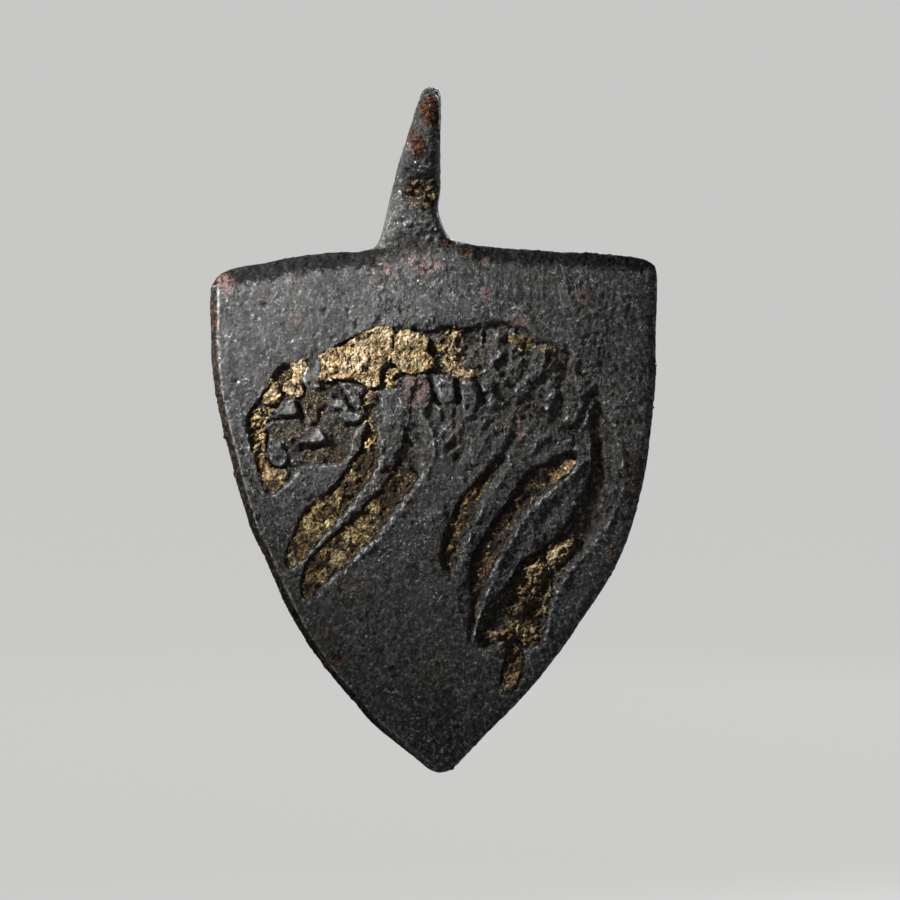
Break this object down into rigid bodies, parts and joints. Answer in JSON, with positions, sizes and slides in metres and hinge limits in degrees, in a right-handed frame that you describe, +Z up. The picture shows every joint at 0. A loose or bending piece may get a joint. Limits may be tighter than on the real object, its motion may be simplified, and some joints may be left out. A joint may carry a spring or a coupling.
{
  "type": "harness pendant",
  "caption": "Small cast copper-alloy shield pendant with an edge-on suspension loop, its domed front sunk with a walking lion that keeps patches of its old fill.",
  "frame": {"origin": "centre of the suspension hole", "axes": "+Z up as the pendant hangs, front facing -Y, +X to the right in the front view and along the hole"},
  "size_m": [0.027, 0.0066, 0.0414],
  "materials": {
    "bronze": "dark grey-black patina on copper alloy, satin, finely pitted, worn edges and reddish patches",
    "buff_fill": "matt granular remains of decayed enamel, cream to orange-brown",
    "brown_fill": "matt granular brown soil"
  },
  "bodies": {
    "root": {"shield_plate": "bronze", "suspension_loop": "bronze", "forehead_inlay": "buff_fill", "brow_inlay": "buff_fill", "muzzle_inlay": "buff_fill", "chin_inlay": "buff_fill", "mane_inlay": "buff_fill", "shoulder_inlay": "buff_fill", "back_inlay": "buff_fill", "rump_inlay": "buff_fill", "chest_inlay": "buff_fill", "left_foreleg_inlay": "buff_fill", "right_foreleg_inlay": "buff_fill", "thigh_inlay": "buff_fill", "tail_inlay": "buff_fill", "heel_inlay": "buff_fill", "tail_tip_inlay": "buff_fill", "left_hind_leg_inlay": "brown_fill", "right_hind_leg_inlay": "brown_fill", "loop_crease_soil": "brown_fill"}
  },
  "joints": []
}
